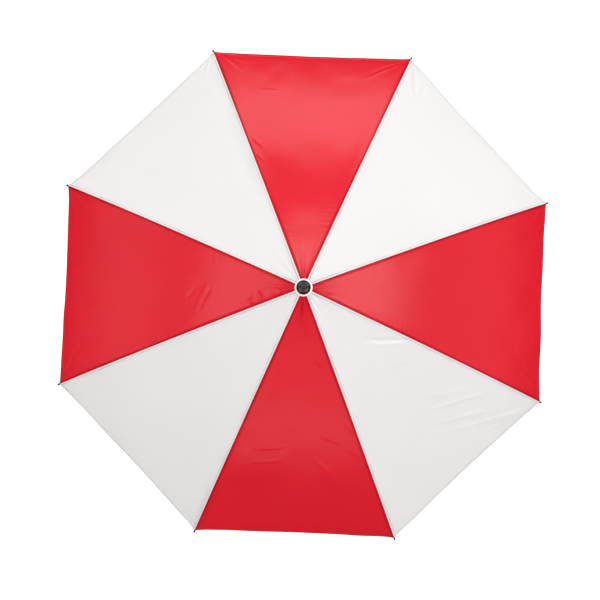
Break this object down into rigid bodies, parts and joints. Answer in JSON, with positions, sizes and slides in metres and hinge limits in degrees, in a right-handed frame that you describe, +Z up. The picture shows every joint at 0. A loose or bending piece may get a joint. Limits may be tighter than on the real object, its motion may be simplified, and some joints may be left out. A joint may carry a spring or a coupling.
{
  "type": "golf umbrella",
  "caption": "Full-size manual golf umbrella: a domed red and white canopy on folding ribs, a sliding runner with catches, a straight shaft and a foam grip.",
  "frame": {"origin": "centre of the handle's flat end face", "axes": "+Z up the shaft from the handle to the ferrule; +X and +Y through the middles of two red gores; the catches face -Y"},
  "size_m": [1.1984, 1.1984, 1.01],
  "materials": {
    "red_cloth": "smooth satin polyester, red",
    "white_cloth": "smooth satin polyester, white",
    "strap_webbing": "the canopy's red cloth, doubled and sewn",
    "fibreglass_rod": "black pultruded fibreglass",
    "rib_fitting_metal": "black coated steel and moulded tips",
    "stretcher_steel": "black coated steel channel",
    "shaft_paint": "black lacquered steel tube",
    "moulded_plastic": "black moulded nylon",
    "white_plastic": "white moulded plastic",
    "gloss_black": "glossy black plastic",
    "grip_foam": "black EVA foam",
    "bare_steel": "drawn wire and pins",
    "spring_steel": "bent spring strip",
    "snap_metal": "plated snap fastener"
  },
  "bodies": {
    "shaft": {"shaft_tube": "shaft_paint", "top_notch": "moulded_plastic", "notch_wire": "bare_steel", "notch_pin": "bare_steel", "inner_rosette": "white_plastic", "outer_rosette": "white_plastic", "ferrule": "gloss_black", "stop_pin": "bare_steel", "catch_pins": "bare_steel", "handle_core": "moulded_plastic", "handle_grip": "grip_foam", "handle_collar": "gloss_black", "handle_cap": "gloss_black"},
    "rib_1": {"rib_1": "fibreglass_rod", "rib_fittings_1": "rib_fitting_metal"},
    "stretcher_1": {"stretcher_1": "stretcher_steel"},
    "runner": {"runner": "moulded_plastic", "runner_wire": "bare_steel"},
    "rib_2": {"rib_2": "fibreglass_rod", "rib_fittings_2": "rib_fitting_metal"},
    "stretcher_2": {"stretcher_2": "stretcher_steel"},
    "rib_3": {"rib_3": "fibreglass_rod", "rib_fittings_3": "rib_fitting_metal"},
    "stretcher_3": {"stretcher_3": "stretcher_steel"},
    "rib_4": {"rib_4": "fibreglass_rod", "rib_fittings_4": "rib_fitting_metal"},
    "stretcher_4": {"stretcher_4": "stretcher_steel"},
    "rib_5": {"rib_5": "fibreglass_rod", "rib_fittings_5": "rib_fitting_metal"},
    "stretcher_5": {"stretcher_5": "stretcher_steel"},
    "rib_6": {"rib_6": "fibreglass_rod", "rib_fittings_6": "rib_fitting_metal", "tie_strap": "strap_webbing", "strap_snaps": "snap_metal"},
    "stretcher_6": {"stretcher_6": "stretcher_steel"},
    "rib_7": {"rib_7": "fibreglass_rod", "rib_fittings_7": "rib_fitting_metal"},
    "stretcher_7": {"stretcher_7": "stretcher_steel"},
    "rib_8": {"rib_8": "fibreglass_rod", "rib_fittings_8": "rib_fitting_metal"},
    "stretcher_8": {"stretcher_8": "stretcher_steel"},
    "red_gore_1_left": {"red_gore_1_left": "red_cloth"},
    "red_gore_1_right": {"red_gore_1_right": "red_cloth"},
    "white_gore_2_left": {"white_gore_2_left": "white_cloth"},
    "white_gore_2_right": {"white_gore_2_right": "white_cloth"},
    "red_gore_3_left": {"red_gore_3_left": "red_cloth"},
    "red_gore_3_right": {"red_gore_3_right": "red_cloth"},
    "white_gore_4_left": {"white_gore_4_left": "white_cloth"},
    "white_gore_4_right": {"white_gore_4_right": "white_cloth"},
    "red_gore_5_left": {"red_gore_5_left": "red_cloth"},
    "red_gore_5_right": {"red_gore_5_right": "red_cloth"},
    "white_gore_6_left": {"white_gore_6_left": "white_cloth"},
    "white_gore_6_right": {"white_gore_6_right": "white_cloth"},
    "red_gore_7_left": {"red_gore_7_left": "red_cloth"},
    "red_gore_7_right": {"red_gore_7_right": "red_cloth"},
    "white_gore_8_left": {"white_gore_8_left": "white_cloth"},
    "white_gore_8_right": {"white_gore_8_right": "white_cloth"},
    "upper_catch": {"upper_catch": "spring_steel"},
    "lower_catch": {"lower_catch": "spring_steel"}
  },
  "joints": [
    {"name": "canopy_fold", "type": "hinge", "parent": "shaft", "child": "rib_1", "pos_m": [0.01201, 0.00497, 0.935], "axis": [-0.3827, 0.9239, 0], "range_deg": [0, 58]},
    {"name": "joiner_pivot_1", "type": "hinge", "parent": "rib_1", "child": "stretcher_1", "pos_m": [0.29098, 0.12053, 0.8058], "axis": [-0.3827, 0.9239, 0], "range_deg": [-116, 0]},
    {"name": "runner_slide_pivot", "type": "hinge", "parent": "stretcher_1", "child": "runner", "pos_m": [0.01201, 0.00497, 0.67659], "axis": [-0.3827, 0.9239, 0], "range_deg": [0, 58]},
    {"name": "rib_fold_2", "type": "hinge", "parent": "shaft", "child": "rib_2", "pos_m": [0.00497, 0.01201, 0.935], "axis": [-0.9239, 0.3827, 0], "range_deg": [0, 58]},
    {"name": "joiner_pivot_2", "type": "hinge", "parent": "rib_2", "child": "stretcher_2", "pos_m": [0.12053, 0.29098, 0.8058], "axis": [-0.9239, 0.3827, 0], "range_deg": [-116, 0]},
    {"name": "rib_fold_3", "type": "hinge", "parent": "shaft", "child": "rib_3", "pos_m": [-0.00497, 0.01201, 0.935], "axis": [-0.9239, -0.3827, 0], "range_deg": [0, 58]},
    {"name": "joiner_pivot_3", "type": "hinge", "parent": "rib_3", "child": "stretcher_3", "pos_m": [-0.12053, 0.29098, 0.8058], "axis": [-0.9239, -0.3827, 0], "range_deg": [-116, 0]},
    {"name": "rib_fold_4", "type": "hinge", "parent": "shaft", "child": "rib_4", "pos_m": [-0.01201, 0.00497, 0.935], "axis": [-0.3827, -0.9239, 0], "range_deg": [0, 58]},
    {"name": "joiner_pivot_4", "type": "hinge", "parent": "rib_4", "child": "stretcher_4", "pos_m": [-0.29098, 0.12053, 0.8058], "axis": [-0.3827, -0.9239, 0], "range_deg": [-116, 0]},
    {"name": "rib_fold_5", "type": "hinge", "parent": "shaft", "child": "rib_5", "pos_m": [-0.01201, -0.00497, 0.935], "axis": [0.3827, -0.9239, 0], "range_deg": [0, 58]},
    {"name": "joiner_pivot_5", "type": "hinge", "parent": "rib_5", "child": "stretcher_5", "pos_m": [-0.29098, -0.12053, 0.8058], "axis": [0.3827, -0.9239, 0], "range_deg": [-116, 0]},
    {"name": "rib_fold_6", "type": "hinge", "parent": "shaft", "child": "rib_6", "pos_m": [-0.00497, -0.01201, 0.935], "axis": [0.9239, -0.3827, 0], "range_deg": [0, 58]},
    {"name": "joiner_pivot_6", "type": "hinge", "parent": "rib_6", "child": "stretcher_6", "pos_m": [-0.12053, -0.29098, 0.8058], "axis": [0.9239, -0.3827, 0], "range_deg": [-116, 0]},
    {"name": "rib_fold_7", "type": "hinge", "parent": "shaft", "child": "rib_7", "pos_m": [0.00497, -0.01201, 0.935], "axis": [0.9239, 0.3827, 0], "range_deg": [0, 58]},
    {"name": "joiner_pivot_7", "type": "hinge", "parent": "rib_7", "child": "stretcher_7", "pos_m": [0.12053, -0.29098, 0.8058], "axis": [0.9239, 0.3827, 0], "range_deg": [-116, 0]},
    {"name": "rib_fold_8", "type": "hinge", "parent": "shaft", "child": "rib_8", "pos_m": [0.01201, -0.00497, 0.935], "axis": [0.3827, 0.9239, 0], "range_deg": [0, 58]},
    {"name": "joiner_pivot_8", "type": "hinge", "parent": "rib_8", "child": "stretcher_8", "pos_m": [0.29098, -0.12053, 0.8058], "axis": [0.3827, 0.9239, 0], "range_deg": [-116, 0]},
    {"name": "gore_1_left_fold", "type": "hinge", "parent": "rib_1", "child": "red_gore_1_left", "pos_m": [0.013, 0.00259, 0.935], "axis": [0.8935, -0.057, 0.4455], "range_deg": [0, 21.42], "deforming": ["red_gore_1_left"]},
    {"name": "gore_1_right_fold", "type": "hinge", "parent": "rib_8", "child": "red_gore_1_right", "pos_m": [0.013, -0.00259, 0.935], "axis": [-0.8935, -0.057, -0.4455], "range_deg": [0, 21.42], "deforming": ["red_gore_1_right"]},
    {"name": "gore_2_left_fold", "type": "hinge", "parent": "rib_2", "child": "white_gore_2_left", "pos_m": [0.00736, 0.01102, 0.935], "axis": [0.6721, 0.5915, 0.4455], "range_deg": [0, 21.42], "deforming": ["white_gore_2_left"]},
    {"name": "gore_2_right_fold", "type": "hinge", "parent": "rib_1", "child": "white_gore_2_right", "pos_m": [0.01102, 0.00736, 0.935], "axis": [-0.5915, -0.6721, -0.4455], "range_deg": [0, 21.42], "deforming": ["white_gore_2_right"]},
    {"name": "gore_3_left_fold", "type": "hinge", "parent": "rib_3", "child": "red_gore_3_left", "pos_m": [-0.00259, 0.013, 0.935], "axis": [0.057, 0.8935, 0.4455], "range_deg": [0, 21.42], "deforming": ["red_gore_3_left"]},
    {"name": "gore_3_right_fold", "type": "hinge", "parent": "rib_2", "child": "red_gore_3_right", "pos_m": [0.00259, 0.013, 0.935], "axis": [0.057, -0.8935, -0.4455], "range_deg": [0, 21.42], "deforming": ["red_gore_3_right"]},
    {"name": "gore_4_left_fold", "type": "hinge", "parent": "rib_4", "child": "white_gore_4_left", "pos_m": [-0.01102, 0.00736, 0.935], "axis": [-0.5915, 0.6721, 0.4455], "range_deg": [0, 21.42], "deforming": ["white_gore_4_left"]},
    {"name": "gore_4_right_fold", "type": "hinge", "parent": "rib_3", "child": "white_gore_4_right", "pos_m": [-0.00736, 0.01102, 0.935], "axis": [0.6721, -0.5915, -0.4455], "range_deg": [0, 21.42], "deforming": ["white_gore_4_right"]},
    {"name": "gore_5_left_fold", "type": "hinge", "parent": "rib_5", "child": "red_gore_5_left", "pos_m": [-0.013, -0.00259, 0.935], "axis": [-0.8935, 0.057, 0.4455], "range_deg": [0, 21.42], "deforming": ["red_gore_5_left"]},
    {"name": "gore_5_right_fold", "type": "hinge", "parent": "rib_4", "child": "red_gore_5_right", "pos_m": [-0.013, 0.00259, 0.935], "axis": [0.8935, 0.057, -0.4455], "range_deg": [0, 21.42], "deforming": ["red_gore_5_right"]},
    {"name": "gore_6_left_fold", "type": "hinge", "parent": "rib_6", "child": "white_gore_6_left", "pos_m": [-0.00736, -0.01102, 0.935], "axis": [-0.6721, -0.5915, 0.4455], "range_deg": [0, 21.42], "deforming": ["white_gore_6_left"]},
    {"name": "gore_6_right_fold", "type": "hinge", "parent": "rib_5", "child": "white_gore_6_right", "pos_m": [-0.01102, -0.00736, 0.935], "axis": [0.5915, 0.6721, -0.4455], "range_deg": [0, 21.42], "deforming": ["white_gore_6_right"]},
    {"name": "gore_7_left_fold", "type": "hinge", "parent": "rib_7", "child": "red_gore_7_left", "pos_m": [0.00259, -0.013, 0.935], "axis": [-0.057, -0.8935, 0.4455], "range_deg": [0, 21.42], "deforming": ["red_gore_7_left"]},
    {"name": "gore_7_right_fold", "type": "hinge", "parent": "rib_6", "child": "red_gore_7_right", "pos_m": [-0.00259, -0.013, 0.935], "axis": [-0.057, 0.8935, -0.4455], "range_deg": [0, 21.42], "deforming": ["red_gore_7_right"]},
    {"name": "gore_8_left_fold", "type": "hinge", "parent": "rib_8", "child": "white_gore_8_left", "pos_m": [0.01102, -0.00736, 0.935], "axis": [0.5915, -0.6721, 0.4455], "range_deg": [0, 21.42], "deforming": ["white_gore_8_left"]},
    {"name": "gore_8_right_fold", "type": "hinge", "parent": "rib_7", "child": "white_gore_8_right", "pos_m": [0.00736, -0.01102, 0.935], "axis": [-0.6721, 0.5915, -0.4455], "range_deg": [0, 21.42], "deforming": ["white_gore_8_right"]},
    {"name": "upper_catch_press", "type": "hinge", "parent": "shaft", "child": "upper_catch", "pos_m": [0, 0, 0.64329], "axis": [1, 0, 0], "range_deg": [0, 5], "stiffness_Nm_per_rad": 1.5},
    {"name": "lower_catch_press", "type": "hinge", "parent": "shaft", "child": "lower_catch", "pos_m": [0, 0, 0.19622], "axis": [-1, 0, 0], "range_deg": [0, 5], "stiffness_Nm_per_rad": 1.5}
  ],
  "couplings": [
    {"joint": "joiner_pivot_1", "follows": "canopy_fold", "ratio": -2},
    {"joint": "runner_slide_pivot", "follows": "canopy_fold", "ratio": 1},
    {"joint": "rib_fold_2", "follows": "canopy_fold", "ratio": 1},
    {"joint": "joiner_pivot_2", "follows": "canopy_fold", "ratio": -2},
    {"joint": "rib_fold_3", "follows": "canopy_fold", "ratio": 1},
    {"joint": "joiner_pivot_3", "follows": "canopy_fold", "ratio": -2},
    {"joint": "rib_fold_4", "follows": "canopy_fold", "ratio": 1},
    {"joint": "joiner_pivot_4", "follows": "canopy_fold", "ratio": -2},
    {"joint": "rib_fold_5", "follows": "canopy_fold", "ratio": 1},
    {"joint": "joiner_pivot_5", "follows": "canopy_fold", "ratio": -2},
    {"joint": "rib_fold_6", "follows": "canopy_fold", "ratio": 1},
    {"joint": "joiner_pivot_6", "follows": "canopy_fold", "ratio": -2},
    {"joint": "rib_fold_7", "follows": "canopy_fold", "ratio": 1},
    {"joint": "joiner_pivot_7", "follows": "canopy_fold", "ratio": -2},
    {"joint": "rib_fold_8", "follows": "canopy_fold", "ratio": 1},
    {"joint": "joiner_pivot_8", "follows": "canopy_fold", "ratio": -2},
    {"joint": "gore_1_left_fold", "follows": "canopy_fold", "ratio": 0.3693},
    {"joint": "gore_1_right_fold", "follows": "canopy_fold", "ratio": 0.3693},
    {"joint": "gore_2_left_fold", "follows": "canopy_fold", "ratio": 0.3693},
    {"joint": "gore_2_right_fold", "follows": "canopy_fold", "ratio": 0.3693},
    {"joint": "gore_3_left_fold", "follows": "canopy_fold", "ratio": 0.3693},
    {"joint": "gore_3_right_fold", "follows": "canopy_fold", "ratio": 0.3693},
    {"joint": "gore_4_left_fold", "follows": "canopy_fold", "ratio": 0.3693},
    {"joint": "gore_4_right_fold", "follows": "canopy_fold", "ratio": 0.3693},
    {"joint": "gore_5_left_fold", "follows": "canopy_fold", "ratio": 0.3693},
    {"joint": "gore_5_right_fold", "follows": "canopy_fold", "ratio": 0.3693},
    {"joint": "gore_6_left_fold", "follows": "canopy_fold", "ratio": 0.3693},
    {"joint": "gore_6_right_fold", "follows": "canopy_fold", "ratio": 0.3693},
    {"joint": "gore_7_left_fold", "follows": "canopy_fold", "ratio": 0.3693},
    {"joint": "gore_7_right_fold", "follows": "canopy_fold", "ratio": 0.3693},
    {"joint": "gore_8_left_fold", "follows": "canopy_fold", "ratio": 0.3693},
    {"joint": "gore_8_right_fold", "follows": "canopy_fold", "ratio": 0.3693}
  ]
}
